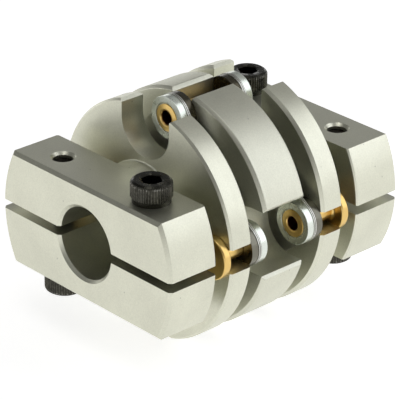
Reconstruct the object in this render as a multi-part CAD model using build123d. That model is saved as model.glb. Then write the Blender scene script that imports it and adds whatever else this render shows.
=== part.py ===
"""Two-stage disc coupling for joining two shafts.

Millimetres. X is the shaft axis, Z is up, the origin is the middle of the coupling.
The front hub is on -X. The rear hub is the front hub turned half a turn about Z.
Every STEP file is one real piece, written where it sits in the assembly.
"""

from build123d import *
import math
import os

os.makedirs("parts", exist_ok=True)

# ---- overall ---------------------------------------------------------------
OUTER_DIA = 33.3  # hubs, flanges and centre member are turned to one diameter
BORE_DIA = 10.0  # shaft bore of both hubs
RIM_INSET = 0.0  # from the rim in to the washers' outermost points

# ---- stack along X, from a hub's front face to the centre member -------------
BLOCK_LENGTH = 7.88  # clamp block
GROOVE_WIDTH = 2.7  # relief behind the block, where the eyelet heads sit
FLANGE_THICK = 3.72
WASHER_THICK = 1.1
LAMINA_THICK = 0.125
LAMINAE = 4  # steel sheets in each disc pack
CENTRE_THICK = 7.4

# ---- hub -------------------------------------------------------------------
FLAT_HEIGHT = 8.25  # axis to the clamp block's flats
NECK_DIA = 16.4
NECK_FILLET = 0.2
CLAMP_SLOT = 1.3  # saw cut that lets the block close on the shaft
CLAMP_SLOT_RUN = 1.0  # how far the saw cut goes on into the neck
FRONT_CHAMFER = 0.45
RIM_CHAMFER = 0.4
FLANGE_CHAMFER = 0.3  # rim edge of the flange that faces the block
EDGE_BREAK = 0.2
SLOT_CHAMFER = 0.5  # where a slot or a notch meets the rim

# ---- clamp screws, M3 socket head cap screws ---------------------------------
SCREW_OFFSET = 8.7  # screw axis to shaft axis
SCREW_HEAD_DIA = 5.5
SCREW_HEAD_HEIGHT = 3.0
SCREW_LENGTH = 12.0
SCREW_THREAD_DIA = 2.66  # thread drawn as a plain bar at its pitch diameter
THREAD_CLEARANCE = 0.02  # between that bar and the tapped hole, on radius
SCREW_PASSAGE_DIA = 3.4
SOCKET_ACROSS_FLATS = 2.5
SOCKET_DEPTH = 1.5
SOCKET_DRILL_TIP = 0.6  # cone that the drill leaves under the socket
SCREW_HEAD_ROUND = 0.35
SCREW_TIP_CHAMFER = 0.35
TAP_MOUTH_DIA = 3.45

# ---- rivets and washers ------------------------------------------------------
TUBE_DIA = 2.5
TUBE_HOLE_DIA = 1.9
TUBE_CLEARANCE = 0.05  # tube to washers and laminae, on radius
EYELET_HEAD_DIA = 6.0
EYELET_HEAD_THICK = 1.2
ROLL_DIA = 3.8  # rolled end of the tube
ROLL_HEIGHT = 0.3
ROLL_ROUND = 0.22
ROLL_FLARE = 0.25
EYELET_FLARE = 0.35
EYELET_HEAD_EDGE = 0.25
EYELET_FILLET = 0.4  # where the tube meets the head
WASHER_DIA = 6.0
WASHER_EDGE = 0.12
SEAT_DEPTH = 0.18  # recess in a washer that takes the rolled end
SEAT_CLEARANCE = 0.15  # rolled end to its recess, on radius
RIVET_SLOT_WIDTH = 3.4  # side slots in the flanges
CENTRE_SLOT_WIDTH = 3.6  # top and bottom slots in the centre member
RELIEF_WIDTH = 9.2  # notches that clear the other member's washers

# ---- centre member and laminae -----------------------------------------------
CENTRE_WEB = 1.55  # between the bottom of a side notch and the centre member's bore
LAMINA_DIP = 2.05  # from the rivet circle in to a lamina's edge half way between two rivets
LAMINA_BAND = 3.4  # width of a lamina there

# ---- cutters -------------------------------------------------------------------
PAST = 1.0  # how far a cutter runs past the face that it opens

# ---- what follows from them --------------------------------------------------
OUTER_R = OUTER_DIA / 2
BORE_R = BORE_DIA / 2
RIVET_RADIUS = OUTER_R - RIM_INSET - WASHER_DIA / 2
CENTRE_BORE_R = RIVET_RADIUS - RELIEF_WIDTH / 2 - CENTRE_WEB
LAMINA_WAIST = RIVET_RADIUS - LAMINA_DIP  # axis to a lamina's edge half way between two rivets
PACK_THICK = LAMINAE * LAMINA_THICK
GAP = 2 * WASHER_THICK + PACK_THICK  # between a flange and the centre member
CENTRE_FACE = CENTRE_THICK / 2
FLANGE_BACK = CENTRE_FACE + GAP
FLANGE_FRONT = FLANGE_BACK + FLANGE_THICK
BLOCK_BACK = FLANGE_FRONT + GROOVE_WIDTH
HUB_FRONT = BLOCK_BACK + BLOCK_LENGTH
SCREW_X = (HUB_FRONT + BLOCK_BACK) / 2
TURN = {"front": Rot(0, 0, 0), "rear": Rot(0, 0, 180)}
# Where the four rivets of each pack are, as (y, z), seen along +X.
RIVETS = {
    "left": (RIVET_RADIUS, 0.0),
    "right": (-RIVET_RADIUS, 0.0),
    "top": (0.0, RIVET_RADIUS),
    "bottom": (0.0, -RIVET_RADIUS),
}


def bar_x(radius, x0, x1, y=0.0, z=0.0):
    """A round bar along X between two planes."""
    return Pos((x0 + x1) / 2, y, z) * Rot(0, 90, 0) * Cylinder(radius, abs(x1 - x0))


def ring_x(points):
    """A solid of revolution about X from (x, radius) corners."""
    return revolve(make_face(Polyline(*[(x, 0, r) for x, r in points], close=True)), Axis.X)


def open_slot(width, angle, x0, x1):
    """A U shaped cutter round the rivet circle at this angle from +Y, open to the rim."""
    reach = OUTER_R - RIVET_RADIUS + PAST
    cutter = bar_x(width / 2, x0, x1, y=RIVET_RADIUS) + Pos(
        (x0 + x1) / 2, RIVET_RADIUS + reach / 2, 0
    ) * Box(abs(x1 - x0), reach, width)
    return Rot(angle, 0, 0) * cutter


def rim_edges(part, x0, x1):
    """The straight edges along X that a slot leaves on the rim between two planes."""
    return [
        e
        for e in part.edges().filter_by(Axis.X)
        if x0 < e.center().X < x1 and math.hypot(e.center().Y, e.center().Z) > OUTER_R - 0.05
    ]


def make_hub():
    """The front hub: clamp block, neck and flange in one piece."""
    front, block, flange, back = -HUB_FRONT, -BLOCK_BACK, -FLANGE_FRONT, -FLANGE_BACK
    neck = NECK_DIA / 2
    hub = ring_x(
        [
            (front, BORE_R + RIM_CHAMFER),
            (front, OUTER_R - FRONT_CHAMFER),
            (front + FRONT_CHAMFER, OUTER_R),
            (block - EDGE_BREAK, OUTER_R),
            (block, OUTER_R - EDGE_BREAK),
            (block, neck),
            (flange, neck),
            (flange, OUTER_R - FLANGE_CHAMFER),
            (flange + FLANGE_CHAMFER, OUTER_R),
            (back - RIM_CHAMFER, OUTER_R),
            (back, OUTER_R - RIM_CHAMFER),
            (back, BORE_R + EDGE_BREAK),
            (back - EDGE_BREAK, BORE_R),
            (front + RIM_CHAMFER, BORE_R),
        ]
    )
    corner = [
        e
        for e in hub.edges().filter_by(GeomType.CIRCLE)
        if abs(e.radius - neck) < 1e-6 and abs(e.center().X - flange) < 1e-6
    ]
    hub = fillet(corner, NECK_FILLET)

    for side in (1, -1):
        hub -= Pos((front + block) / 2, 0, side * (FLAT_HEIGHT + OUTER_R / 2)) * Box(
            BLOCK_LENGTH + 2 * PAST, 2 * (OUTER_R + PAST), OUTER_R
        )
    face_edges = [
        e
        for e in hub.edges().filter_by(Axis.Y)
        if abs(e.center().X - front) < 1e-6 and abs(abs(e.center().Z) - FLAT_HEIGHT) < 1e-6
    ]
    hub = chamfer(face_edges, FRONT_CHAMFER)

    for angle in (90, 270):
        hub -= open_slot(RELIEF_WIDTH, angle, flange - PAST, back + PAST)
    hub = chamfer(rim_edges(hub, flange, back), SLOT_CHAMFER)
    for angle in (0, 180):
        hub -= open_slot(RIVET_SLOT_WIDTH, angle, flange - PAST, back + PAST)

    saw_end = block + CLAMP_SLOT_RUN
    hub -= Pos((front - PAST + saw_end) / 2, 0, 0) * Box(
        saw_end - front + PAST, 2 * (OUTER_R + PAST), CLAMP_SLOT
    )

    # One screw goes down on -Y and the other goes up on +Y, each tapped in the far half.
    for side in (1, -1):
        head_side = Pos(-SCREW_X, -side * SCREW_OFFSET, 0) * (
            Rot(0, 0, 0) if side > 0 else Rot(180, 0, 0)
        )
        tap_r = SCREW_THREAD_DIA / 2 + THREAD_CLEARANCE
        mouth = TAP_MOUTH_DIA / 2
        hub -= head_side * Pos(0, 0, OUTER_R / 2) * Cylinder(SCREW_PASSAGE_DIA / 2, OUTER_R)
        hub -= head_side * Pos(0, 0, -OUTER_R / 2) * Cylinder(tap_r, OUTER_R)
        sink = mouth - tap_r
        hub -= head_side * Pos(0, 0, -FLAT_HEIGHT + sink / 2) * Rot(180, 0, 0) * Cone(
            tap_r, mouth, sink
        )
    return hub


def make_centre():
    """The floating member between the two disc packs."""
    a, bore = CENTRE_FACE, CENTRE_BORE_R
    ring = ring_x(
        [
            (-a, bore + EDGE_BREAK),
            (-a, OUTER_R - RIM_CHAMFER),
            (-a + RIM_CHAMFER, OUTER_R),
            (a - RIM_CHAMFER, OUTER_R),
            (a, OUTER_R - RIM_CHAMFER),
            (a, bore + EDGE_BREAK),
            (a - EDGE_BREAK, bore),
            (-a + EDGE_BREAK, bore),
        ]
    )
    for angle in (0, 180):
        ring -= open_slot(RELIEF_WIDTH, angle, -a - PAST, a + PAST)
    for angle in (90, 270):
        ring -= open_slot(CENTRE_SLOT_WIDTH, angle, -a - PAST, a + PAST)
    return chamfer(rim_edges(ring, -a, a), SLOT_CHAMFER)


def make_lamina(x0):
    """One spring steel sheet: a lobe round each rivet and a concave waist between each two."""
    lobe, waist = WASHER_DIA / 2, LAMINA_WAIST
    h = RIVET_RADIUS * math.sqrt(0.5)
    # The waist arc touches both neighbouring lobes. This is its radius and its centre.
    arc_r = (h**2 + (waist - h) ** 2 - lobe**2) / (2 * (lobe + h - waist))
    arc_c = arc_r + waist
    reach = math.hypot(h - arc_c, h)
    tp, tq = arc_c + arc_r * (h - arc_c) / reach, arc_r * h / reach
    tip = (RIVET_RADIUS + lobe) * math.sqrt(0.5)

    def at(p, q, k):
        c, s = math.cos(math.radians(45 + 90 * k)), math.sin(math.radians(45 + 90 * k))
        return (p * c - q * s, p * s + q * c)

    outline = []
    for k in range(4):
        outline.append(ThreePointArc(at(tp, -tq, k), at(waist, 0, k), at(tp, tq, k)))
        outline.append(ThreePointArc(at(tp, tq, k), at(tip, tip, k), at(tq, tp, k)))
    plate = extrude(Plane.YZ.offset(x0) * make_face(outline), LAMINA_THICK)
    plate -= bar_x(waist - LAMINA_BAND, x0 - PAST, x0 + PAST)
    for y, z in RIVETS.values():
        plate -= bar_x(TUBE_DIA / 2 + TUBE_CLEARANCE, x0 - PAST, x0 + PAST, y, z)
    return plate


def round_edges(part, radius, *places):
    """Rounds the circular edges of a turned part at these (x, radius) places."""
    chosen = [
        e
        for e in part.edges().filter_by(GeomType.CIRCLE)
        if any(abs(e.center().X - x) < 1e-6 and abs(e.radius - r) < 1e-6 for x, r in places)
    ]
    return fillet(chosen, radius)


def make_spacer(x0):
    """The plain ring between a disc pack and the member that carries the rivet."""
    inner, outer, x1 = TUBE_DIA / 2 + TUBE_CLEARANCE, WASHER_DIA / 2, x0 + WASHER_THICK
    ring = bar_x(outer, x0, x1) - bar_x(inner, x0 - PAST, x1 + PAST)
    return round_edges(ring, WASHER_EDGE, (x0, outer), (x1, outer))


def make_washer(x0, side):
    """The ring on the pack's other face, recessed on its +X or -X side for the rolled end."""
    face = x0 + (WASHER_THICK if side > 0 else 0)
    floor = face - side * SEAT_DEPTH
    recess = bar_x(ROLL_DIA / 2 + SEAT_CLEARANCE, floor, face + side * PAST)
    return make_spacer(x0) - recess


def make_eyelet():
    """A hub rivet: headed in the front hub's groove and rolled over in its washer."""
    hole, tube, head = TUBE_HOLE_DIA / 2, TUBE_DIA / 2, EYELET_HEAD_DIA / 2
    seat, roll = -FLANGE_FRONT, -CENTRE_FACE - SEAT_DEPTH
    front, end = seat - EYELET_HEAD_THICK, roll + ROLL_HEIGHT
    body = ring_x(
        [
            (front, hole + EYELET_FLARE),
            (front, head),
            (seat, head),
            (seat, tube),
            (roll, tube),
            (roll, ROLL_DIA / 2),
            (end, ROLL_DIA / 2),
            (end, hole),
            (front + EYELET_FLARE, hole),
        ]
    )
    body = round_edges(body, EYELET_HEAD_EDGE, (front, head), (seat, head))
    body = round_edges(body, EYELET_FILLET, (seat, tube))
    body = round_edges(body, ROLL_FLARE, (end, hole))
    return round_edges(body, ROLL_ROUND, (end, ROLL_DIA / 2))


def make_rivet():
    """A centre rivet: a tube through both packs and the centre member, rolled over at both ends."""
    hole, tube, rolled = TUBE_HOLE_DIA / 2, TUBE_DIA / 2, ROLL_DIA / 2
    seat = FLANGE_BACK - SEAT_DEPTH
    end = seat + ROLL_HEIGHT
    half = [(seat, tube), (seat, rolled), (end, rolled), (end, hole)]
    body = ring_x([(-x, r) for x, r in reversed(half)] + half)
    body = round_edges(body, ROLL_FLARE, (end, hole), (-end, hole))
    return round_edges(body, ROLL_ROUND, (end, rolled), (-end, rolled))


def make_screw():
    """A socket head cap screw pointing down, its head seated on the hub's upper flat."""
    head, top = SCREW_HEAD_DIA / 2, FLAT_HEIGHT + SCREW_HEAD_HEIGHT
    body = Pos(0, 0, FLAT_HEIGHT) * Cylinder(
        head, SCREW_HEAD_HEIGHT, align=(Align.CENTER, Align.CENTER, Align.MIN)
    )
    body = fillet(body.edges().group_by(Axis.Z)[-1], SCREW_HEAD_ROUND)
    shank = Pos(0, 0, FLAT_HEIGHT) * Cylinder(
        SCREW_THREAD_DIA / 2, SCREW_LENGTH, align=(Align.CENTER, Align.CENTER, Align.MAX)
    )
    body += chamfer(shank.edges().group_by(Axis.Z)[0], SCREW_TIP_CHAMFER)
    corner = SOCKET_ACROSS_FLATS / math.sqrt(3)
    hexagon = Plane.XY.offset(top - SOCKET_DEPTH) * RegularPolygon(corner, 6)
    body -= extrude(hexagon, SOCKET_DEPTH + PAST)
    drill = Pos(0, 0, top - SOCKET_DEPTH) * Rot(180, 0, 0) * Cone(
        SOCKET_ACROSS_FLATS / 2, 0, SOCKET_DRILL_TIP, align=(Align.CENTER, Align.CENTER, Align.MIN)
    )
    return body - drill


def write(name, part):
    export_step(part, f"parts/{name}.step")


hub, screw, eyelet, rivet = make_hub(), make_screw(), make_eyelet(), make_rivet()
write("centre_member", make_centre())
for end, turn in TURN.items():
    write(f"{end}_hub", turn * hub)
    # Turning the rear end round swaps its left and right.
    write(f"{end}_screw_top", turn * Pos(-SCREW_X, -SCREW_OFFSET, 0) * screw)
    write(f"{end}_screw_bottom", turn * Pos(-SCREW_X, SCREW_OFFSET, 0) * Rot(180, 0, 0) * screw)
    for side in ("left", "right"):
        y, z = RIVETS[side]
        write(f"{end}_eyelet_{side}", Pos(0, y, z) * turn * eyelet)
    pack = -FLANGE_BACK + WASHER_THICK
    for k in range(LAMINAE):
        write(f"{end}_lamina_{k + 1}", turn * make_lamina(pack + k * LAMINA_THICK))
    outer, inner = -FLANGE_BACK, -CENTRE_FACE - WASHER_THICK
    for side, (y, z) in RIVETS.items():
        # The hub's rivets are rolled over on the inner washer, the centre member's on the outer.
        if side in ("left", "right"):
            rings = {"outer": make_spacer(outer), "inner": make_washer(inner, 1)}
        else:
            rings = {"outer": make_washer(outer, -1), "inner": make_spacer(inner)}
        for place, ring in rings.items():
            write(f"{end}_washer_{place}_{side}", Pos(0, y, z) * turn * ring)
for side in ("top", "bottom"):
    y, z = RIVETS[side]
    write(f"centre_rivet_{side}", Pos(0, y, z) * rivet)
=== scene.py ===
# %% [markdown]
# # A disc coupling
# This coupling joins two shafts that are not quite in line. Two clamp hubs grip the shafts. Between
# them floats a centre member, and thin spring steel sheets, riveted to a hub at two places and to the
# centre member at the other two, bend a little on every turn. The CAD model gives each real piece its
# place and size. This file loads it, makes finer pieces for what the eye reads closely, and gives
# every piece its finish.

# %% Load the frame
import math

import bmesh
import bpy
from mathutils import Matrix, Vector


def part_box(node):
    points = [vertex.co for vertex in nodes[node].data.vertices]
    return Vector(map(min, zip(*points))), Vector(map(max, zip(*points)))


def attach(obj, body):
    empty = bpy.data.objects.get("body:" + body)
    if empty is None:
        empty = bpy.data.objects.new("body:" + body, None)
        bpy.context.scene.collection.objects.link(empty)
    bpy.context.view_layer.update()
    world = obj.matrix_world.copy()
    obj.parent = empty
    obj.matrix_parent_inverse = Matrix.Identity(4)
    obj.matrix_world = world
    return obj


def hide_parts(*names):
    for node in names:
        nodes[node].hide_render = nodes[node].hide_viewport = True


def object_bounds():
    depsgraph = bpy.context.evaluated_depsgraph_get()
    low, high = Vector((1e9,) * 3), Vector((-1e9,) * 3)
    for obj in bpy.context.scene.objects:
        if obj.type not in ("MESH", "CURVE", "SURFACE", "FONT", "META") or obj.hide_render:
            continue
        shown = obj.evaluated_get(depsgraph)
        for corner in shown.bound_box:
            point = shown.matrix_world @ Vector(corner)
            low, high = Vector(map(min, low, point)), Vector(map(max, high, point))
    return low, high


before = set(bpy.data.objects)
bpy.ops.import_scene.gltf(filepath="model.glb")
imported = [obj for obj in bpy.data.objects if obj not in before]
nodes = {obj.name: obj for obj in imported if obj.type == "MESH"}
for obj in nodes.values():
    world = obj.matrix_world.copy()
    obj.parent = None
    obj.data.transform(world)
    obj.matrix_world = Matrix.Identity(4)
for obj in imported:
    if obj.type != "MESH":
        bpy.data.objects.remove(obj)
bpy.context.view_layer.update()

# %% [markdown]
# ## Working in millimetres
# The frame is in metres, but a rivet of 2.5 mm is easier to think about than one of 0.0025 m, and some
# of Blender's tools lose accuracy on very small numbers. So each piece is made in millimetres, and the
# last step scales its mesh. The sizes below are read from the CAD pieces, so they follow the model.

# %% Sizes read from the CAD pieces
MM = 0.001
ENDS = {"front": -1, "rear": 1}
SIDES = ("left", "right", "top", "bottom")


def span(node, axis):
    """Lowest and highest coordinate of a CAD piece along one axis (0, 1 or 2), in millimetres."""
    low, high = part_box(node)
    return low[axis] / MM, high[axis] / MM


def middle(node):
    """Middle of a CAD piece's box, in millimetres."""
    return Vector([sum(span(node, axis)) / 2 for axis in range(3)])


RIM_RADIUS = span("front_washer_outer_top", 2)[1]
RING_RADIUS = (span("front_washer_outer_top", 1)[1] - span("front_washer_outer_top", 1)[0]) / 2
RING_THICK = span("front_washer_outer_top", 0)[1] - span("front_washer_outer_top", 0)[0]
FLOOR_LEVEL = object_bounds()[0][2]
print("rim radius", round(RIM_RADIUS, 2), "ring radius", round(RING_RADIUS, 2))
print("ring thickness", round(RING_THICK, 2))

# %% [markdown]
# ## The camera
# A small metal part is usually shot from some way off with a long lens, so its circles stay round and
# its edges stay nearly parallel. The camera looks at the middle of the coupling from the front hub's
# side, a little from above. A small shift centres the part in the frame without turning the camera.

# %% Camera
VIEW_AZIMUTH = math.radians(-43.17)
VIEW_ELEVATION = math.radians(25.98)
VIEW_ROLL = math.radians(-0.69)
VIEW_DISTANCE = 0.325
LENS = 217.6
SHIFT_X, SHIFT_Y = -0.0031, -0.0057

back = Vector(
    (
        math.sin(VIEW_AZIMUTH) * math.cos(VIEW_ELEVATION),
        -math.cos(VIEW_AZIMUTH) * math.cos(VIEW_ELEVATION),
        math.sin(VIEW_ELEVATION),
    )
)
right = Vector((math.cos(VIEW_AZIMUTH), math.sin(VIEW_AZIMUTH), 0))
up = back.cross(right)
level, tilt = math.cos(VIEW_ROLL), math.sin(VIEW_ROLL)
rolled_right = right * level - up * tilt
rolled_up = right * tilt + up * level

camera_data = bpy.data.cameras.new("camera")
camera_data.lens = LENS
camera_data.clip_start = 0.02
camera_data.clip_end = 20
camera_data.shift_x = SHIFT_X
camera_data.shift_y = SHIFT_Y
camera = bpy.data.objects.new("camera", camera_data)
turn = Matrix((rolled_right, rolled_up, back)).transposed().to_4x4()
camera.matrix_world = Matrix.Translation(back * VIEW_DISTANCE) @ turn
bpy.context.scene.collection.objects.link(camera)
bpy.context.scene.camera = camera
print("camera at", [round(v, 4) for v in camera.matrix_world.translation])

# %% [markdown]
# ## Floor and light
# Bare metal shows what is around it, so most of its look comes from what it mirrors. Here that is a
# white floor, a bright band just over the horizon, a dim sky, one large soft box beside the part and a
# small one above it. The floor is a plain disc. Its shader adds white where the camera or a
# reflection looks at it. That keeps the ground white while the lamps stay low, and the part's own
# soft shadow still shows on it.

# %% Node helpers
bpy.context.scene.view_settings.view_transform = "Standard"


def new_tree(material):
    """Empties a material's node tree and gives back the tree and its output node."""
    material.use_nodes = True
    tree = material.node_tree
    tree.nodes.clear()
    return tree, tree.nodes.new("ShaderNodeOutputMaterial")


def add(tree, kind, settings=None, **inputs):
    """Adds a node, sets its properties, and fills or links the inputs named in the call."""
    node = tree.nodes.new(kind)
    for key, value in (settings or {}).items():
        setattr(node, key, value)
    for key, value in inputs.items():
        socket = node.inputs[int(key[1:]) if key[1:].isdigit() else key.replace("_", " ")]
        if isinstance(value, bpy.types.NodeSocket):
            tree.links.new(value, socket)
        else:
            socket.default_value = value
    return node


# %% Floor
FLOOR_RADIUS = 3.0
floor_mesh = bpy.data.meshes.new("floor")
shape = bmesh.new()
bmesh.ops.create_circle(shape, cap_ends=True, radius=FLOOR_RADIUS, segments=96)
bmesh.ops.translate(shape, vec=(0, 0, FLOOR_LEVEL), verts=shape.verts)
shape.to_mesh(floor_mesh)
shape.free()
floor = bpy.data.objects.new("floor", floor_mesh)
bpy.context.scene.collection.objects.link(floor)

FLOOR_GLOW = 0.76
FLOOR_COLOUR = (0.62, 0.62, 0.62, 1)
floor_paint = bpy.data.materials.new("white_ground")
tree, output = new_tree(floor_paint)
ray = add(tree, "ShaderNodeLightPath")
larger = {"operation": "MAXIMUM"}
seen = add(tree, "ShaderNodeMath", larger, _0=ray.outputs["Is Camera Ray"], _1=ray.outputs["Is Glossy Ray"])
seen = add(tree, "ShaderNodeMath", larger, _0=seen.outputs[0], _1=ray.outputs["Is Transmission Ray"])
lift = add(tree, "ShaderNodeMath", {"operation": "MULTIPLY"}, _0=seen.outputs[0], _1=FLOOR_GLOW)
matt = add(tree, "ShaderNodeBsdfDiffuse", Color=FLOOR_COLOUR)
glow = add(tree, "ShaderNodeEmission", Color=(1, 1, 1, 1), Strength=lift.outputs[0])
both = add(tree, "ShaderNodeAddShader", _0=matt.outputs[0], _1=glow.outputs[0])
tree.links.new(both.outputs[0], output.inputs["Surface"])
floor_mesh.materials.append(floor_paint)
print("floor", round(FLOOR_LEVEL / MM, 2), "mm from the shaft axis, radius", FLOOR_RADIUS, "m")

# %% World and lamps
HORIZON_GLOW = 1.7
HORIZON_TOP = 0.12
HORIZON_END = 0.26
SKY_NEAR, SKY_FAR = 0.15, 0.245  # towards -X and towards +X
SKY_LIFT = 0.22
world = bpy.data.worlds.new("tent")
bpy.context.scene.world = world
world.use_nodes = True
sky = world.node_tree
sky.nodes.clear()
sky_output = sky.nodes.new("ShaderNodeOutputWorld")
direction = add(sky, "ShaderNodeTexCoord")
toward = add(sky, "ShaderNodeSeparateXYZ", _0=direction.outputs["Generated"]).outputs


def sky_ramp(axis, low, high, at_low, at_high):
    """A value that goes from one level to another as the direction's coordinate rises."""
    ramp = add(sky, "ShaderNodeMapRange", Value=toward[axis], _1=low, _2=high, _3=at_low, _4=at_high)
    return ramp.outputs[0]


# The bright band is strongest towards +Y. The dim sky is lighter towards +X, most of all high up.
band_level = sky_ramp("Y", -0.2, 0.6, 1.0, HORIZON_GLOW)
band = sky_ramp("Z", HORIZON_TOP, HORIZON_END, band_level, 0.0)
dim = sky_ramp("X", -0.7, 0.7, SKY_NEAR, SKY_FAR)
lift = sky_ramp("Z", 0.5, 0.8, 0.0, SKY_LIFT)
far_side = sky_ramp("X", 0.0, 0.5, 0.0, 1.0)
dim = add(sky, "ShaderNodeMath", {"operation": "MULTIPLY_ADD"}, _0=lift, _1=far_side, _2=dim)
level = add(sky, "ShaderNodeMath", {"operation": "MAXIMUM"}, _0=band, _1=dim.outputs[0])
backdrop = add(sky, "ShaderNodeBackground", Color=(1, 1, 1, 1), Strength=level.outputs[0])
sky.links.new(backdrop.outputs[0], sky_output.inputs["Surface"])


def soft_box(name, way, distance, width, height, brightness, colour=(1, 1, 1)):
    """A flat lamp in this direction from the part, facing it. A brightness of 1 is white."""
    lamp = bpy.data.lights.new(name, "AREA")
    lamp.shape = "RECTANGLE"
    lamp.size, lamp.size_y = width, height
    lamp.energy = brightness * math.pi * width * height
    lamp.color = colour
    holder = bpy.data.objects.new(name, lamp)
    place = Vector(way).normalized() * distance
    turn = (-place).to_track_quat("-Z", "Y").to_matrix().to_4x4()
    holder.matrix_world = Matrix.Translation(place) @ turn
    bpy.context.scene.collection.objects.link(holder)
    return holder


soft_box(
    "side_box", way=(0.605, -0.592, 0.533), distance=0.60, width=0.44, height=0.58, brightness=1.54,
    colour=(0.92, 0.94, 1.0),
)
soft_box("top_box", way=(-0.3, -0.1, 1.0), distance=0.80, width=0.30, height=0.30, brightness=3.0)
print("lamps:", [lamp.name for lamp in bpy.data.lights])

# %% [markdown]
# ## Satin aluminium
# The hubs and the centre member are turned from aluminium bar and given a thin clear anodised skin.
# Up close it is not a mirror: the cutting tool leaves rings, and the skin scatters the light. The
# rings run round the shaft axis, so they are a pattern in the distance from that axis on flat faces
# and in the place along it on the rims. One noise texture read at those two numbers gives both.

# %% Shader helpers


def calc(tree, operation, *values):
    """The result of a Math node. It serves shaders and geometry trees alike."""
    named = {"_%d" % place: value for place, value in enumerate(values)}
    return add(tree, "ShaderNodeMath", {"operation": operation}, **named).outputs[0]


def between(tree, value, low, high, at_low, at_high):
    """The value carried from one range over to another, held at both ends."""
    return add(tree, "ShaderNodeMapRange", Value=value, _1=low, _2=high, _3=at_low, _4=at_high).outputs[0]


def noise(tree, place, scale, detail=2.0, roughness=0.6):
    texture = add(tree, "ShaderNodeTexNoise", Vector=place, Scale=scale, Detail=detail, Roughness=roughness)
    return texture.outputs["Fac"]


def around(tree, first, second):
    """Distance from an axis, from the two coordinates across it."""
    squares = [calc(tree, "MULTIPLY", value, value) for value in (first, second)]
    return calc(tree, "SQRT", calc(tree, "ADD", *squares))


def metal(name, colour, roughness, draw, bare=1.0):
    """A metal with its numbers set on the shader and its detail drawn by a function.

    A cut wall is only partly bare, and scatters some light as well.
    """
    material = bpy.data.materials.new(name)
    tree, output = new_tree(material)
    shader = add(tree, "ShaderNodeBsdfPrincipled", Metallic=bare, Roughness=roughness)
    shader.inputs["Base Color"].default_value = (*colour, 1)
    tree.links.new(shader.outputs[0], output.inputs["Surface"])
    draw(tree, shader)
    return material


def shade(tree, shader, amount):
    """Multiplies the shader's own colour by a pattern."""
    colour = shader.inputs["Base Color"].default_value[:3]
    tint = add(tree, "ShaderNodeVectorMath", {"operation": "SCALE"}, _0=colour, Scale=amount)
    tree.links.new(tint.outputs[0], shader.inputs["Base Color"])


def axial_share(tree):
    """How far a face looks along the shaft axis: 1 across the axis, 0 on a rim."""
    normal = add(tree, "ShaderNodeNewGeometry").outputs["Normal"]
    return calc(tree, "ABSOLUTE", add(tree, "ShaderNodeSeparateXYZ", _0=normal).outputs["X"])


def roughen(tree, shader, pattern, at_low, at_high):
    """Lets the shader's roughness follow a pattern."""
    tree.links.new(between(tree, pattern, 0.3, 0.7, at_low, at_high), shader.inputs["Roughness"])


def emboss(tree, shader, *layers):
    """Stacks bumps, each a pattern, a strength and a height in metres."""
    last = None
    for pattern, strength, height in layers:
        bump = add(tree, "ShaderNodeBump", Strength=strength, Distance=height, Height=pattern)
        if last:
            tree.links.new(last.outputs[0], bump.inputs["Normal"])
        last = bump
    tree.links.new(last.outputs[0], shader.inputs["Normal"])


# %% Aluminium


def turned_skin(groove, grain):
    """Draws tool rings, the skin's grain and a few dark specks on a turned piece."""

    def draw(tree, shader):
        place = add(tree, "ShaderNodeTexCoord").outputs["Object"]
        x, y, z = add(tree, "ShaderNodeSeparateXYZ", _0=place).outputs
        away = around(tree, y, z)
        # On a rim the distance is the same all round, but its last digits are not, so only faces
        # across the axis read it.
        across = calc(tree, "ROUND", axial_share(tree))
        ring_place = add(tree, "ShaderNodeCombineXYZ", X=x, Y=calc(tree, "MULTIPLY", away, across))
        rings = noise(tree, ring_place.outputs[0], 4200.0)
        grains = noise(tree, place, 5200.0, 3.0)
        clouds = noise(tree, place, 160.0, 3.0)
        spots = add(tree, "ShaderNodeTexVoronoi", Vector=place, Scale=SPECK_SCALE).outputs["Distance"]
        tone = between(tree, clouds, 0.3, 0.7, 0.95, 1.04)
        tone = calc(tree, "MULTIPLY", tone, between(tree, grains, 0.3, 0.7, 0.93, 1.05))
        speck = between(tree, spots, SPECK_SIZE * 0.6, SPECK_SIZE, 0.62, 1.0)
        shade(tree, shader, calc(tree, "MULTIPLY", tone, speck))
        rough = shader.inputs["Roughness"].default_value
        roughen(tree, shader, rings, rough - 0.05, rough + 0.07)
        emboss(tree, shader, (rings, groove, 0.00002), (grains, grain, 0.00002))

    return draw


def milled_skin(streak, grain):
    """Draws a milled wall: fine streaks along the shaft axis and a soft grain."""

    def draw(tree, shader):
        place = add(tree, "ShaderNodeTexCoord").outputs["Object"]
        drawn_out = add(tree, "ShaderNodeMapping", Vector=place, Scale=(0.06, 1.0, 1.0))
        streaks = noise(tree, drawn_out.outputs[0], 5200.0, 3.0)
        grains = noise(tree, place, 3600.0, 3.0)
        clouds = noise(tree, place, 300.0, 3.0)
        tone = between(tree, clouds, 0.3, 0.7, 0.93, 1.05)
        shade(tree, shader, calc(tree, "MULTIPLY", tone, between(tree, streaks, 0.3, 0.7, 0.88, 1.08)))
        emboss(tree, shader, (streaks, streak, 0.00003), (grains, grain, 0.00003))

    return draw


SPECK_SCALE = 420.0
SPECK_SIZE = 0.05
hub_metal = metal("satin_aluminium_hub", (0.66, 0.66, 0.545), 0.38, turned_skin(0.3, 0.3))
centre_metal = metal("satin_aluminium_centre", (0.65, 0.65, 0.545), 0.46, turned_skin(0.3, 0.3))
notch_metal = metal("milled_aluminium", (0.58, 0.61, 0.58), 0.46, milled_skin(0.5, 0.2), 0.4)
slot_metal = metal("rough_milled_aluminium", (0.74, 0.72, 0.68), 0.5, milled_skin(0.2, 0.6), 0.2)
# Painted shade: the saw cuts, screw holes and tapped threads get this dark metal.
deep_shade_metal = metal("sawn_and_tapped_aluminium", (0.17, 0.155, 0.13), 0.5, milled_skin(0.2, 0.6), 0.7)
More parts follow.
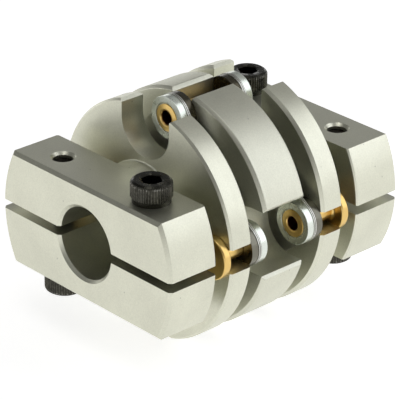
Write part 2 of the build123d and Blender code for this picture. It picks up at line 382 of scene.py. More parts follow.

# %% [markdown]
# ## From CAD solid to finished piece
# A CAD solid comes as loose triangles with razor edges, and real machined edges always carry a small
# break that catches the light. So a piece is copied, its loose corners are merged and its flat faces
# joined up again, and a Bevel modifier breaks the edges that turn sharply. Beveling the copy keeps the
# solid itself as it is. Notches, slots, saw cuts and screw holes come after the turning, and each is
# cut by another tool. So their walls get metals of their own: streaky, rougher, and in the deep ones
# painted dark as shade. Those faces are found by where they are and which way they look.

# %% Finishing helpers


def finish_mesh(name, source, materials, *replaced):
    """Bakes an object's modifiers, scales it to metres and sets it in place of its CAD pieces."""
    graph = bpy.context.evaluated_depsgraph_get()
    mesh = bpy.data.meshes.new_from_object(source.evaluated_get(graph))
    mesh.transform(Matrix.Scale(MM, 4))
    mesh.name = name
    bpy.data.objects.remove(source)
    if materials:
        mesh.materials.clear()
        for material in materials:
            mesh.materials.append(material)
    piece = bpy.data.objects.new(name, mesh)
    bpy.context.scene.collection.objects.link(piece)
    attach(piece, "root")
    if replaced:
        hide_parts(*replaced)
    low = [min(v.co[axis] for v in mesh.vertices) / MM for axis in range(3)]
    high = [max(v.co[axis] for v in mesh.vertices) / MM for axis in range(3)]
    print(name, len(mesh.polygons), "faces", [round(v, 2) for v in low], "to", [round(v, 2) for v in high])
    return piece


def merged_copy(node):
    """A copy of a CAD piece in millimetres, its corners merged and its flat faces joined."""
    mesh = nodes[node].data.copy()
    mesh.transform(Matrix.Scale(1 / MM, 4))
    shape = bmesh.new()
    shape.from_mesh(mesh)
    bmesh.ops.remove_doubles(shape, verts=shape.verts, dist=1e-4)
    bmesh.ops.dissolve_limit(shape, angle_limit=math.radians(0.3), verts=shape.verts, edges=shape.edges)
    clean = bpy.data.meshes.new(node + "_copy")
    shape.to_mesh(clean)
    shape.free()
    bpy.data.meshes.remove(mesh)
    clean.shade_smooth()
    piece = bpy.data.objects.new(node + "_copy", clean)
    bpy.context.scene.collection.objects.link(piece)
    return piece


def break_edges(piece, width, steps, angle=25):
    """Breaks a piece's sharp edges and evens out the shading of the flats beside them."""
    bevel = piece.modifiers.new("edge break", "BEVEL")
    bevel.width = width
    bevel.segments = steps
    bevel.limit_method = "ANGLE"
    bevel.angle_limit = math.radians(angle)
    weights = piece.modifiers.new("flat faces first", "WEIGHTED_NORMAL")
    weights.keep_sharp = True
    return piece


def mark_milled(piece, notch_axis, holes=()):
    """Numbers the metals of a piece's cut walls: 1 notch, 2 slot, 3 saw cut or screw hole, painted dark as
    shade.
    """
    for face in piece.data.polygons:
        x, y, z = face.center
        flat = abs(face.normal.z) > 0.99 and abs(z) > BLOCK_FLAT
        if abs(face.normal.x) < 0.3 and NECK_RADIUS < math.hypot(y, z) < RIM_RADIUS - 0.1 and not flat:
            in_notch = abs((y, z)[notch_axis]) > abs((z, y)[notch_axis])
            face.material_index = 1 if in_notch else 2
        near_hole = any(math.hypot(x - hole.x, y - hole.y) < HOLE_REACH for hole in holes)
        in_hole = near_hole and abs(face.normal.z) < 0.3
        in_saw_cut = abs(z) < SAW_CUT_REACH and abs(face.normal.z) > 0.9
        if holes and (in_hole or in_saw_cut):
            face.material_index = 3
    return piece


# %% Hubs and centre member
BLOCK_FLAT = 7.0
NECK_RADIUS = 8.6
HOLE_REACH = 2.0
SAW_CUT_REACH = 1.0
EDGE_WIDTH = 0.08
SIDEWAYS, UPWARD = 0, 1
for end in ENDS:
    holes = [middle(f"{end}_screw_{side}") for side in ("top", "bottom")]
    hub = break_edges(mark_milled(merged_copy(end + "_hub"), UPWARD, holes), EDGE_WIDTH, 2)
    metals = [hub_metal, notch_metal, slot_metal, deep_shade_metal]
    finish_mesh(end + "_clamp_hub", hub, metals, end + "_hub")
ring = break_edges(mark_milled(merged_copy("centre_member"), SIDEWAYS), EDGE_WIDTH, 2)
metals = [centre_metal, notch_metal, slot_metal]
finish_mesh("floating_centre", ring, metals, "centre_member")

# %% [markdown]
# ## Steel and brass
# The small parts have finishes of their own. The sheets are bright rolled steel. The washers under the
# rolled rivet ends are plated and shine, while the spacers on the members' side are dark, and those
# on the centre's rivets are painted darker still as shade. Rivets are bare brass, with painted shade
# in their holes. Screws are black from a hot oxide bath, and their knurl is lighter on the ribs, partly
# wear from rubbing and partly a painted sheen. The hole shade and the light ribs follow the shape, so
# the trees that make the shapes hand them over as attributes.

# %% Small parts' metals


def fine_turning(scale, change, strength):
    """Draws faint clouds and tool marks, as on small turned parts."""

    def draw(tree, shader):
        place = add(tree, "ShaderNodeTexCoord").outputs["Object"]
        marks = noise(tree, place, scale, 3.0)
        shade(tree, shader, between(tree, marks, 0.3, 0.7, 1 - change, 1 + change))
        rough = shader.inputs["Roughness"].default_value
        roughen(tree, shader, marks, rough * 0.85, rough * 1.2)
        emboss(tree, shader, (marks, strength, 0.00001))

    return draw


def blend_colour(tree, shader, amount, colour, start=None):
    """Carries the shader's colour over to another one where the amount is 1."""
    first = start or shader.inputs["Base Color"].default_value[:]
    mix = add(tree, "ShaderNodeMix", {"data_type": "RGBA"}, _0=amount, _6=first, _7=(*colour, 1))
    tree.links.new(mix.outputs[2], shader.inputs["Base Color"])
    return mix.outputs[2]


def handed_over(tree, name):
    """The number of this name that the shape's tree stored on its points."""
    return add(tree, "ShaderNodeAttribute", {"attribute_name": name}).outputs["Fac"]


def oxide_skin(tree, shader):
    """Draws the black skin, lighter on top of the ribs, partly wear from rubbing and partly a painted
    sheen, and bright at their upper ends, bare metal from wear and a painted glint.
    """
    place = add(tree, "ShaderNodeTexCoord").outputs["Object"]
    marks = noise(tree, place, 2600.0, 3.0)
    # Painted sheen and glint: the rib tops are lighter and their upper ends bright, partly real wear.
    rubbed = calc(tree, "MULTIPLY", handed_over(tree, "rubbed"), between(tree, marks, 0.38, 0.62, 0.1, 1.0))
    worn = calc(tree, "MULTIPLY", handed_over(tree, "worn"), between(tree, marks, 0.5, 0.66, 0.0, 1.0))
    rub_and_sheen_colour = blend_colour(tree, shader, rubbed, (0.105, 0.10, 0.082))
    blend_colour(tree, shader, worn, (0.45, 0.44, 0.40), rub_and_sheen_colour)
    rough = shader.inputs["Roughness"].default_value
    roughen(tree, shader, marks, rough * 0.8, rough * 1.25)
    emboss(tree, shader, (marks, 0.25, 0.00001))


def brass_skin(tree, shader):
    """Draws bare brass, with painted shade: dark inside the rivets' holes."""
    place = add(tree, "ShaderNodeTexCoord").outputs["Object"]
    marks = noise(tree, place, 900.0, 3.0)
    bright = shader.inputs["Base Color"].default_value[:3]
    cloud = between(tree, marks, 0.3, 0.7, 0.95, 1.03)
    tint = add(tree, "ShaderNodeVectorMath", {"operation": "SCALE"}, _0=bright, Scale=cloud)
    # Painted shade: the walls of the rivets' holes are painted a dark red-brown.
    blend_colour(tree, shader, handed_over(tree, "inside"), (0.30, 0.13, 0.05), tint.outputs[0])


def sheet_skin(tree, shader):
    """Draws rolled sheet, with painted shade: dark lines across a pack's edge between the sheets."""
    place = add(tree, "ShaderNodeTexCoord").outputs["Object"]
    x = calc(tree, "ABSOLUTE", add(tree, "ShaderNodeSeparateXYZ", _0=place).outputs["X"])
    edge = calc(tree, "LESS_THAN", axial_share(tree), 0.5)
    along = calc(tree, "DIVIDE", calc(tree, "SUBTRACT", x, PACK_START * MM), LINE_STEP * MM)
    # Distance to the nearest whole step, from 0 to a half.
    off = calc(tree, "FRACT", calc(tree, "ADD", along, 0.5))
    off = calc(tree, "ABSOLUTE", calc(tree, "SUBTRACT", off, 0.5))
    # Painted shade: dark lines stand for the shade in the gaps between sheets.
    line = calc(tree, "MULTIPLY", edge, between(tree, off, LINE_SHARE * 0.6, LINE_SHARE, 1.0, 0.0))
    blend_colour(tree, shader, line, (0.02, 0.019, 0.016))
    emboss(tree, shader, (noise(tree, place, 900.0, 3.0), 0.03, 0.00001))


# A line of painted shade comes at every other sheet, at a pack's two outside faces and at its middle.
LINE_STEP = abs(span("front_lamina_3", 0)[0] - span("front_lamina_1", 0)[0])
LINE_SHARE = 0.28
PACK_START = min(abs(value) for number in (1, 4) for value in span(f"front_lamina_{number}", 0))
sheet_metal = metal("rolled_spring_steel", (0.66, 0.66, 0.60), 0.30, sheet_skin)
bright_metal = metal("plated_washer_steel", (0.68, 0.72, 0.65), 0.29, fine_turning(1500, 0.04, 0.02))
dark_metal = metal("oiled_spacer_steel", (0.175, 0.169, 0.135), 0.30, fine_turning(1600, 0.08, 0.03))
# Painted shade: the centre's spacers get a darker copy of the same spacer steel.
shaded_spacer_metal = metal("blackened_spacer_steel", (0.072, 0.065, 0.046), 0.27, fine_turning(1600, 0.10, 0.03))
brass_metal = metal("bare_brass", (0.75, 0.52, 0.18), 0.30, brass_skin)
black_metal = metal("black_oxide", (0.037, 0.036, 0.029), 0.28, oxide_skin)
print("sheet line every", round(LINE_STEP, 3), "mm from", round(PACK_START, 3), "mm")

# %% [markdown]
# ## Turned parts by Geometry Nodes
# Every small part here is turned: an outline spun round an axis. It could be drawn by hand with the
# Screw modifier, but the same ring comes sixteen times and the same screw four times, so a node tree
# does both jobs. A grid is the raw sheet. Each of its rows is one corner of the outline, and every
# point turns round the axis by its own column. Merging by distance closes the seam. The tree then
# sets a copy on each given point, turned the way that the point says.

# %% Tree helpers
ROUND_STEPS = 72


def shape_tree(name, *labels):
    """Starts a tree with named number inputs. Gives the tree, its inputs by name and its output."""
    tree = bpy.data.node_groups.new(name, "GeometryNodeTree")
    tree.interface.new_socket("Shape", in_out="OUTPUT", socket_type="NodeSocketGeometry")
    tree.interface.new_socket("Places", in_out="INPUT", socket_type="NodeSocketGeometry")
    for label in labels:
        tree.interface.new_socket(label, in_out="INPUT", socket_type="NodeSocketFloat")
    given = tree.nodes.new("NodeGroupInput").outputs
    return tree, {socket.name: socket for socket in given}, tree.nodes.new("NodeGroupOutput")


def corner_switch(tree, row, corners):
    """For each row, the corner (radius, share, height) that it stands for."""
    outline = add(tree, "GeometryNodeIndexSwitch", {"data_type": "VECTOR"})
    while len(outline.index_switch_items) < len(corners):
        outline.index_switch_items.new()
    tree.links.new(row, outline.inputs[0])
    for place, (radius, share, level) in enumerate(corners):
        point = add(tree, "ShaderNodeCombineXYZ", X=radius, Y=share, Z=level)
        tree.links.new(point.outputs[0], outline.inputs[place + 1])
    return add(tree, "ShaderNodeSeparateXYZ", _0=outline.outputs[0]).outputs


def grid_numbers(tree, rows):
    """The column and the row of each point of a grid with this many rows."""
    index = add(tree, "GeometryNodeInputIndex").outputs[0]
    column = calc(tree, "FLOOR", calc(tree, "DIVIDE", index, rows))
    return column, calc(tree, "SUBTRACT", index, calc(tree, "MULTIPLY", column, rows))


def bend_round(tree, steps, rows, radius, angle, level):
    """Bends a grid round the Z axis and closes its seam."""
    sheet = add(tree, "GeometryNodeMeshGrid", Vertices_X=steps + 1, Vertices_Y=rows)
    point = add(tree, "ShaderNodeCombineXYZ", X=radius, Z=level)
    about_z = {"rotation_type": "Z_AXIS"}
    turned = add(tree, "ShaderNodeVectorRotate", about_z, Vector=point.outputs[0], Angle=angle)
    bent = add(tree, "GeometryNodeSetPosition", Geometry=sheet.outputs[0], Position=turned.outputs[0])
    joined = add(tree, "GeometryNodeMergeByDistance", Geometry=bent.outputs[0], Distance=0.0005)
    smooth = add(tree, "GeometryNodeSetShadeSmooth", Geometry=joined.outputs[0], Shade_Smooth=True)
    return smooth.outputs[0]


def store_number(tree, shape, name, value):
    """Stores a number on a shape's points, for its metal to read."""
    kind = {"data_type": "FLOAT", "domain": "POINT"}
    store = add(tree, "GeometryNodeStoreNamedAttribute", kind, Geometry=shape, Name=name, Value=value)
    return store.outputs[0]


def point_place(tree):
    """Each point's distance from the Z axis, and its height."""
    place = add(tree, "GeometryNodeInputPosition").outputs[0]
    x, y, z = add(tree, "ShaderNodeSeparateXYZ", _0=place).outputs
    return around(tree, x, y), z


def turned_part(tree, outline, steps=ROUND_STEPS):
    """A part turned to an outline of (radius, height) corners."""
    column, row = grid_numbers(tree, len(outline))
    radius, share, level = corner_switch(tree, row, [(r, 0.0, h) for r, h in outline])
    angle = calc(tree, "MULTIPLY", column, math.tau / steps)
    return bend_round(tree, steps, len(outline), radius, angle, level)


def make_real(tree, copies, output, finish):
    """Ends a tree: its copies made real, in their metal."""
    real = add(tree, "GeometryNodeRealizeInstances", Geometry=copies)
    skin = add(tree, "GeometryNodeSetMaterial", Geometry=real.outputs[0], Material=finish)
    tree.links.new(skin.outputs[0], output.inputs[0])


def set_copies(tree, places, shape, output, finish):
    """Ends a tree with a copy of the shape at each place, turned as the place says."""
    facing = add(tree, "GeometryNodeInputNamedAttribute", {"data_type": "FLOAT_VECTOR"}, Name="facing")
    turn = add(tree, "FunctionNodeEulerToRotation", Euler=facing.outputs[0])
    copies = add(
        tree, "GeometryNodeInstanceOnPoints", Points=places, Instance=shape, Rotation=turn.outputs[0]
    )
    make_real(tree, copies.outputs[0], output, finish)


def grow(name, tree, places, **numbers):
    """An object whose points are the places, with the tree on it and its numbers set."""
    mesh = bpy.data.meshes.new(name + "_places")
    mesh.from_pydata([place for place, facing in places], [], [])
    mesh.attributes.new("facing", "FLOAT_VECTOR", "POINT").data.foreach_set(
        "vector", [math.radians(angle) for place, facing in places for angle in facing]
    )
    source = bpy.data.objects.new(name + "_places", mesh)
    bpy.context.scene.collection.objects.link(source)
    modifier = source.modifiers.new(tree.name, "NODES")
    modifier.node_group = tree
    for item in tree.interface.items_tree:
        key = item.name.lower().replace(" ", "_")
        if item.in_out == "INPUT" and key in numbers:
            modifier[item.identifier] = float(numbers[key])
    return source


def corner_arc(tree, radius, level, size, first, last, steps=5):
    """Outline points on a round corner about a centre (radius, height), from one angle to another."""
    points = []
    for step in range(steps + 1):
        angle = math.radians(first + (last - first) * step / steps)
        points.append(
            (
                calc(tree, "MULTIPLY_ADD", size, math.cos(angle), radius),
                calc(tree, "MULTIPLY_ADD", size, math.sin(angle), level),
            )
        )
    return points


# %% [markdown]
# ## Rings: spacers and washers
# Each rivet clamps its sheets between two rings. The one on the member's side is plain. The other
# has a shallow recess where the rivet's end is rolled over. They differ only in that recess, so two
# small trees share the helpers, and a bevel rounds the turned edges. A copy of the plain tree puts
# a darker copy of the spacer metal, a painted shade, on the rings of the centre's rivets.

# %% Rings
HOLE_RADIUS = 1.3
RECESS_RADIUS = 2.05
RECESS_DEPTH = 0.18
RING_EDGE = 0.07
RING_INSET = 0.05  # the sheets stand this proud of the rings
ALONG = {1: (0, 90, 0), -1: (0, -90, 0)}  # turns a part's own Z to +X or to -X

tree, sizes, output = shape_tree("plain ring", "Hole", "Radius", "Thickness")
hole, outer, thick = sizes["Hole"], sizes["Radius"], sizes["Thickness"]
shape = turned_part(tree, [(hole, 0.0), (outer, 0.0), (outer, thick), (hole, thick), (hole, 0.0)])
set_copies(tree, sizes["Places"], shape, output, dark_metal)
plain_ring = tree
# Painted shade: this copy carries the darker spacer metal.
shaded_ring = tree.copy()
shaded_ring.nodes["Set Material"].inputs["Material"].default_value = shaded_spacer_metal

tree, sizes, output = shape_tree(
    "recessed ring", "Hole", "Radius", "Thickness", "Recess radius", "Recess depth"
)
hole, outer, thick, recess = sizes["Hole"], sizes["Radius"], sizes["Thickness"], sizes["Recess radius"]
seat = calc(tree, "SUBTRACT", thick, sizes["Recess depth"])
top = [(outer, thick), (recess, thick), (recess, seat), (hole, seat)]
shape = turned_part(tree, [(hole, 0.0), (outer, 0.0)] + top + [(hole, 0.0)])
set_copies(tree, sizes["Places"], shape, output, bright_metal)
recessed_ring = tree

kinds = {"hub_spacers": ([], []), "centre_spacers": ([], []), "bright_washers": ([], [])}
for end, way in ENDS.items():
    for side in SIDES:
        for where in ("outer", "inner"):
            node = f"{end}_washer_{where}_{side}"
            on_hub_rivet = side in ("left", "right")
            if (where == "outer") != on_hub_rivet:
                kind = "bright_washers"
            else:
                kind = "hub_spacers" if on_hub_rivet else "centre_spacers"
            # The recess looks away from the sheets.
            facing = way if where == "outer" else -way
            base = middle(node)
            base.x -= facing * RING_THICK / 2
            kinds[kind][0].append((base, ALONG[facing]))
            kinds[kind][1].append(node)

ring_sizes = {
    "hole": HOLE_RADIUS,
    "radius": RING_RADIUS - RING_INSET,
    "thickness": RING_THICK,
    "recess_radius": RECESS_RADIUS,
    "recess_depth": RECESS_DEPTH,
}
for kind, tree, slot in (
    ("hub_spacers", plain_ring, "spacer_steel"),
    ("centre_spacers", shaded_ring, "spacer_steel"),
    ("bright_washers", recessed_ring, "washer_steel"),
):
    places, names = kinds[kind]
    rings = grow(kind, tree, places, **ring_sizes)
    finish_mesh(kind, break_edges(rings, RING_EDGE, 3), None, *names)

# %% [markdown]
# ## Rivets
# A rivet is a brass tube. A hub's rivet has a turned head at one end, and its other end is rolled
# over in the washer's recess. The rolled lip is a smooth round, so its outline is made of arcs.

# %% Rivets
TUBE_RADIUS = 1.25
TUBE_HOLE = 0.95
ROLL_RADIUS = 1.9
ROLL_HEIGHT = 0.3
LIP_ROUND = 0.3
HEAD_THICK = 1.2
HEAD_EDGE = 0.25
HEAD_FILLET = 0.4
HEAD_FLARE = 0.35
RIVET_BREAK = 0.03
WALL_MARGIN = 0.03  # what lies this near to the hole's radius is its wall


def rolled_lip(tree, sizes, end):
    """Outline of a rolled end, from the tube's wall over the lip to the hole."""
    tube, hole, roll, lip = sizes["Tube"], sizes["Hole"], sizes["Roll radius"], sizes["Lip round"]
    under = calc(tree, "SUBTRACT", end, sizes["Roll height"])
    rim = calc(tree, "SUBTRACT", end, calc(tree, "MULTIPLY", sizes["Roll height"], 0.4))
    return [(tube, under), (roll, under), (roll, rim)] + corner_arc(
        tree, calc(tree, "ADD", hole, lip), calc(tree, "SUBTRACT", end, lip), lip, 75, 180
    )


def hole_shade(tree, sizes, shape):
    """Marks the wall of a rivet's hole with the attribute that its metal reads as painted shade."""
    away, height = point_place(tree)
    wall = calc(tree, "ADD", sizes["Hole"], WALL_MARGIN)
    return store_number(tree, shape, "inside", calc(tree, "LESS_THAN", away, wall))


tree, sizes, output = shape_tree(
    "headed rivet", "Length", "Tube", "Hole", "Roll radius", "Roll height", "Lip round",
    "Head radius", "Head thickness", "Head edge", "Head fillet", "Head flare",
)
head, edge = sizes["Head radius"], sizes["Head edge"]
fillet, thick = sizes["Head fillet"], sizes["Head thickness"]
rim = calc(tree, "SUBTRACT", head, edge)
flare = calc(tree, "ADD", sizes["Hole"], sizes["Head flare"])
fillet_radius, fillet_level = calc(tree, "ADD", sizes["Tube"], fillet), calc(tree, "ADD", thick, fillet)
outline = (
    [(sizes["Hole"], sizes["Head flare"]), (flare, 0.0)]
    + corner_arc(tree, rim, edge, edge, -90, 0)
    + corner_arc(tree, rim, calc(tree, "SUBTRACT", thick, edge), edge, 0, 90)
    + corner_arc(tree, fillet_radius, fillet_level, fillet, 270, 180)
    + rolled_lip(tree, sizes, sizes["Length"])
    + [(sizes["Hole"], sizes["Head flare"])]
)
shape = hole_shade(tree, sizes, turned_part(tree, outline))
set_copies(tree, sizes["Places"], shape, output, brass_metal)
headed_rivet = tree

tree, sizes, output = shape_tree(
    "double rivet", "Length", "Tube", "Hole", "Roll radius", "Roll height", "Lip round"
)
half = calc(tree, "DIVIDE", sizes["Length"], 2.0)
far = rolled_lip(tree, sizes, half)
near = [(radius, calc(tree, "MULTIPLY", level, -1.0)) for radius, level in reversed(far)]
shape = hole_shade(tree, sizes, turned_part(tree, near + far + near[:1]))
set_copies(tree, sizes["Places"], shape, output, brass_metal)
double_rivet = tree

tube_sizes = {
    "tube": TUBE_RADIUS,
    "hole": TUBE_HOLE,
    "roll_radius": ROLL_RADIUS,
    "roll_height": ROLL_HEIGHT,
    "lip_round": LIP_ROUND,
}
places, names = [], []
for end, way in ENDS.items():
    for side in ("left", "right"):
        node = f"{end}_eyelet_{side}"
        low, high = span(node, 0)
        base = middle(node)
        base.x = low if way < 0 else high
        places.append((base, ALONG[-way]))
        names.append(node)
head_sizes = {
    "head_radius": RING_RADIUS,
    "head_thickness": HEAD_THICK,
    "head_edge": HEAD_EDGE,
    "head_fillet": HEAD_FILLET,
    "head_flare": HEAD_FLARE,
}
rivets = grow("eyelets", headed_rivet, places, length=high - low, **head_sizes, **tube_sizes)
rivets = break_edges(rivets, RIVET_BREAK, 1)
finish_mesh("hub_rivets", rivets, None, *names)

names = ["centre_rivet_top", "centre_rivet_bottom"]
low, high = span(names[0], 0)
places = [(middle(node), ALONG[1]) for node in names]
rivets = grow("tubes", double_rivet, places, length=high - low, **tube_sizes)
rivets = break_edges(rivets, RIVET_BREAK, 1)
finish_mesh("centre_rivets", rivets, None, *names)

# %% [markdown]
# ## Clamp screws
# A socket head cap screw is black, with a fine straight knurl round its head and a plain band under
# it. Forty-eight small ribs could be copies of one rib, but a knurl is pressed into the head itself.
# So one outline is bent round with its radius swinging in and out as it goes, only at the knurled
# rows, and drawn in to a hexagon at the rows of the socket. The thread is one more grid, whose rows
# climb by one pitch in each turn.

# %% Screw tree
RIBS = 48
SOCKET_SIDES = 6
COLUMNS = RIBS * 4


def zigzag(tree, angle, count):
    """0 between two ribs and 1 on top of each, round a turn."""
    place = calc(tree, "FRACT", calc(tree, "MULTIPLY", angle, count / math.tau))
    from_top = calc(tree, "ABSOLUTE", calc(tree, "MULTIPLY_ADD", place, 2.0, -1.0))
    return calc(tree, "SUBTRACT", 1.0, from_top)


def hexagon_radius(tree, angle, flats):
    """Distance from the middle to a hexagon's side at this angle."""
    part = math.tau / SOCKET_SIDES
    place = calc(tree, "SUBTRACT", calc(tree, "FRACT", calc(tree, "DIVIDE", angle, part)), 0.5)
    lean = calc(tree, "COSINE", calc(tree, "MULTIPLY", place, part))
    return calc(tree, "DIVIDE", calc(tree, "DIVIDE", flats, 2.0), lean)


def thread_skin(tree, crest, root, core, pitch, length, turns, steps):
    """A threaded bar hanging down from Z = 0, or a threaded lining where core is outside.

    A lining has no outer wall, because that would lie hidden in the metal round it.
    """
    rows = turns * 2 + 4
    column, row = grid_numbers(tree, rows)
    angle = calc(tree, "MULTIPLY", column, math.tau / steps)
    climb = calc(tree, "DIVIDE", column, steps)
    # The rows run up from the tip. Whatever would pass an end is held there.
    turn = calc(tree, "MULTIPLY", calc(tree, "SUBTRACT", row, 3.0), 0.5)
    level = calc(tree, "MULTIPLY", calc(tree, "ADD", turn, climb), pitch)
    level = calc(tree, "SUBTRACT", calc(tree, "MINIMUM", level, length), length)
    level = calc(tree, "MAXIMUM", level, calc(tree, "MULTIPLY", length, -1.0))
    even = calc(tree, "MODULO", row, 2.0)
    radius = calc(tree, "MULTIPLY_ADD", even, calc(tree, "SUBTRACT", root, crest), crest)
    # The first row and the last one lie at the core: a bar's axis, or a lining's buried edge.
    first = calc(tree, "COMPARE", row, 0.0, 0.5)
    last = calc(tree, "COMPARE", row, rows - 1.0, 0.5)
    closing = calc(tree, "ADD", first, last)
    radius = calc(tree, "MULTIPLY_ADD", closing, calc(tree, "SUBTRACT", core, radius), radius)
    drop = calc(tree, "SUBTRACT", calc(tree, "MULTIPLY", length, -1.0), level)
    level = calc(tree, "MULTIPLY_ADD", first, drop, level)
    level = calc(tree, "MULTIPLY", level, calc(tree, "SUBTRACT", 1.0, last))
    return bend_round(tree, steps, rows, radius, angle, level)


THREAD_TURNS = 24
THREAD_STEPS = 36
KNURL_END = 0.12  # from the shoulder down to the knurl's last full row
SHOULDER_MARGIN = 0.02
SOCKET_CHAMFER = 0.14
tree, sizes, output = shape_tree(
    "cap screw", "Head radius", "Head height", "Edge width", "Edge height", "Band height", "Band inset",
    "Rib depth", "Socket flats", "Socket depth", "Drill tip", "Thread crest", "Thread root", "Pitch",
    "Length",
)
head, top, band = sizes["Head radius"], sizes["Head height"], sizes["Band height"]
neck = calc(tree, "SUBTRACT", head, sizes["Band inset"])
shoulder = calc(tree, "SUBTRACT", top, sizes["Edge height"])
crown = calc(tree, "SUBTRACT", head, sizes["Edge width"])
floor_level = calc(tree, "SUBTRACT", top, sizes["Socket depth"])
# The socket's round mouth passes just outside the hexagon's corners.
mouth = calc(tree, "DIVIDE", sizes["Socket flats"], 1.6)
knurl_foot = calc(tree, "ADD", band, sizes["Band inset"])
middle_radius = calc(tree, "MULTIPLY_ADD", sizes["Edge width"], -0.3, head)
middle_level = calc(tree, "MULTIPLY_ADD", sizes["Edge height"], 0.55, shoulder)
# Each corner is (radius, share, height). A share from 0 to 1 is how much of the knurl it carries,
# and a share of 2 draws it in to the hexagon.
corners = [
    (0.0, 0.0, 0.0),
    (neck, 0.0, 0.0),
    (neck, 0.0, band),
    (head, 1.0, knurl_foot),
    (head, 1.0, calc(tree, "SUBTRACT", shoulder, KNURL_END)),
    (head, 1.0, shoulder),
    (middle_radius, 0.35, middle_level),
    (crown, 0.0, top),
    (mouth, 0.0, top),
    (mouth, 2.0, calc(tree, "SUBTRACT", top, SOCKET_CHAMFER)),
    (mouth, 2.0, floor_level),
    (0.0, 0.0, calc(tree, "SUBTRACT", floor_level, sizes["Drill tip"])),
]
column, row = grid_numbers(tree, len(corners))
angle = calc(tree, "MULTIPLY", column, math.tau / COLUMNS)
radius, share, level = corner_switch(tree, row, corners)
knurled = calc(tree, "MULTIPLY", calc(tree, "LESS_THAN", share, 1.5), share)
drawn_in = calc(tree, "GREATER_THAN", share, 1.5)
valley = calc(tree, "SUBTRACT", 1.0, zigzag(tree, angle, RIBS))
cut = calc(tree, "MULTIPLY", calc(tree, "MULTIPLY", knurled, valley), sizes["Rib depth"])
radius = calc(tree, "SUBTRACT", radius, cut)
socket = hexagon_radius(tree, angle, sizes["Socket flats"])
radius = calc(tree, "MULTIPLY_ADD", drawn_in, calc(tree, "SUBTRACT", socket, radius), radius)
sheet = bend_round(tree, COLUMNS, len(corners), radius, angle, level)
away, height = point_place(tree)
proud = between(tree, away, calc(tree, "SUBTRACT", head, sizes["Rib depth"]), head, 0.0, 1.0)
# The rib tops carry painted sheen as well as wear, for the metal to read.
marked = store_number(tree, sheet, "rubbed", proud)
at_shoulder = calc(tree, "MULTIPLY", proud, calc(tree, "COMPARE", height, shoulder, SHOULDER_MARGIN))
marked = store_number(tree, marked, "worn", at_shoulder)
crest, root, pitch = sizes["Thread crest"], sizes["Thread root"], sizes["Pitch"]
thread = thread_skin(tree, crest, root, 0.0, pitch, sizes["Length"], THREAD_TURNS, THREAD_STEPS)
whole = add(tree, "GeometryNodeJoinGeometry")
tree.links.new(marked, whole.inputs[0])
tree.links.new(thread, whole.inputs[0])
set_copies(tree, sizes["Places"], whole.outputs[0], output, black_metal)
cap_screw = tree
print("screw outline", len(corners), "corners,", COLUMNS, "columns,", THREAD_TURNS, "thread turns")

# %% Screws
PITCH = 0.5
UPRIGHT = {1: (0, 0, 0), -1: (180, 0, 0)}
HEAD_HEIGHT = 3.0
SHARP_ANGLE = 28
places, names = [], []
for end in ENDS:
    for side, way in (("top", 1), ("bottom", -1)):
        node = f"{end}_screw_{side}"
        low, high = span(node, 2)
        seat = middle(node)
        seat.z = high - HEAD_HEIGHT if way > 0 else low + HEAD_HEIGHT
        places.append((seat, UPRIGHT[way]))
        names.append(node)
screw_sizes = {
    "head_radius": (span(names[0], 0)[1] - span(names[0], 0)[0]) / 2,
    "head_height": HEAD_HEIGHT,
    "edge_width": 0.45,
    "edge_height": 0.46,
    "band_height": 0.55,
    "band_inset": 0.2,
    "rib_depth": 0.09,
    "socket_flats": 2.5,
    "socket_depth": 1.5,
    "drill_tip": 0.6,
    "thread_crest": 1.47,
    "thread_root": 1.2,
    "pitch": PITCH,
    "length": high - low - HEAD_HEIGHT,
}
screws = grow("screws", cap_screw, places, **screw_sizes)
finish_mesh("clamp_screws", screws, None, *names)
bpy.data.objects["clamp_screws"].data.set_sharp_from_angle(angle=math.radians(SHARP_ANGLE))

# %% [markdown]
# ## Threads in the tapped holes
# Each screw ends inside its tapped hole, and the rest of the thread shows from the far side as fine
# rings, painted dark as shade. The lining is the same helix turned inside out: its crests reach in from the
# wall.

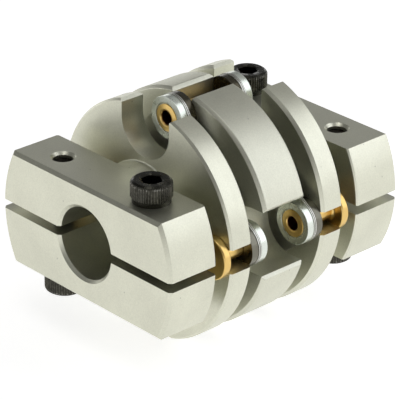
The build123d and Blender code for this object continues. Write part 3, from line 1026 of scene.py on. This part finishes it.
# %% Tapped threads
LINING_TURNS = 9
LINING_START = 0.8  # under the flat that the hole opens on
tree, sizes, output = shape_tree("tapped lining", "Crest", "Root", "Buried", "Pitch", "Length")
crest, root, buried = sizes["Crest"], sizes["Root"], sizes["Buried"]
lining = thread_skin(tree, crest, root, buried, sizes["Pitch"], sizes["Length"], LINING_TURNS, THREAD_STEPS)
inside_out = add(tree, "GeometryNodeFlipFaces", Mesh=lining)
# Painted shade: the linings take the dark metal of the deep cuts.
set_copies(tree, sizes["Places"], inside_out.outputs[0], output, deep_shade_metal)
places = []
for end in ENDS:
    for side, way in (("top", 1), ("bottom", -1)):
        # The hole opens on the flat across from the screw's head.
        mouth = middle(f"{end}_screw_{side}")
        low, high = span(f"{end}_screw_{side}", 2)
        level = high - HEAD_HEIGHT if way > 0 else low + HEAD_HEIGHT
        mouth.z = -level + way * LINING_START
        places.append((mouth, UPRIGHT[-way]))
linings = grow("linings", tree, places, crest=1.2, root=1.36, buried=1.5, pitch=PITCH, length=4.0)
finish_mesh("tapped_threads", linings, None)

# %% [markdown]
# ## Sheet packs
# Four thin sheets make a pack. They are alike, so one is copied from the CAD piece and a tree lays it
# four times in a row. At this size the gaps between sheets are finer than anything the mesh could
# show, so the sheet's metal paints them as dark lines on the pack's edge, a painted shade.

# %% Sheet packs
SHEETS = 4
SHEET_BREAK = 0.01
tree, sizes, output = shape_tree("sheet pack", "Step")
offset = add(tree, "ShaderNodeCombineXYZ", X=sizes["Step"])
row_of_points = add(tree, "GeometryNodeMeshLine", Count=SHEETS, Offset=offset.outputs[0])
copies = add(
    tree, "GeometryNodeInstanceOnPoints", Points=row_of_points.outputs[0], Instance=sizes["Places"]
)
make_real(tree, copies.outputs[0], output, sheet_metal)
step_input = next(item.identifier for item in tree.interface.items_tree if item.name == "Step")

for end in ENDS:
    names = [f"{end}_lamina_{number + 1}" for number in range(SHEETS)]
    step = middle(names[1]).x - middle(names[0]).x
    sheet = break_edges(merged_copy(names[0]), SHEET_BREAK, 1)
    stack = sheet.modifiers.new("stack", "NODES")
    stack.node_group = tree
    stack[step_input] = step
    finish_mesh(end + "_sheet_pack", sheet, None, *names)
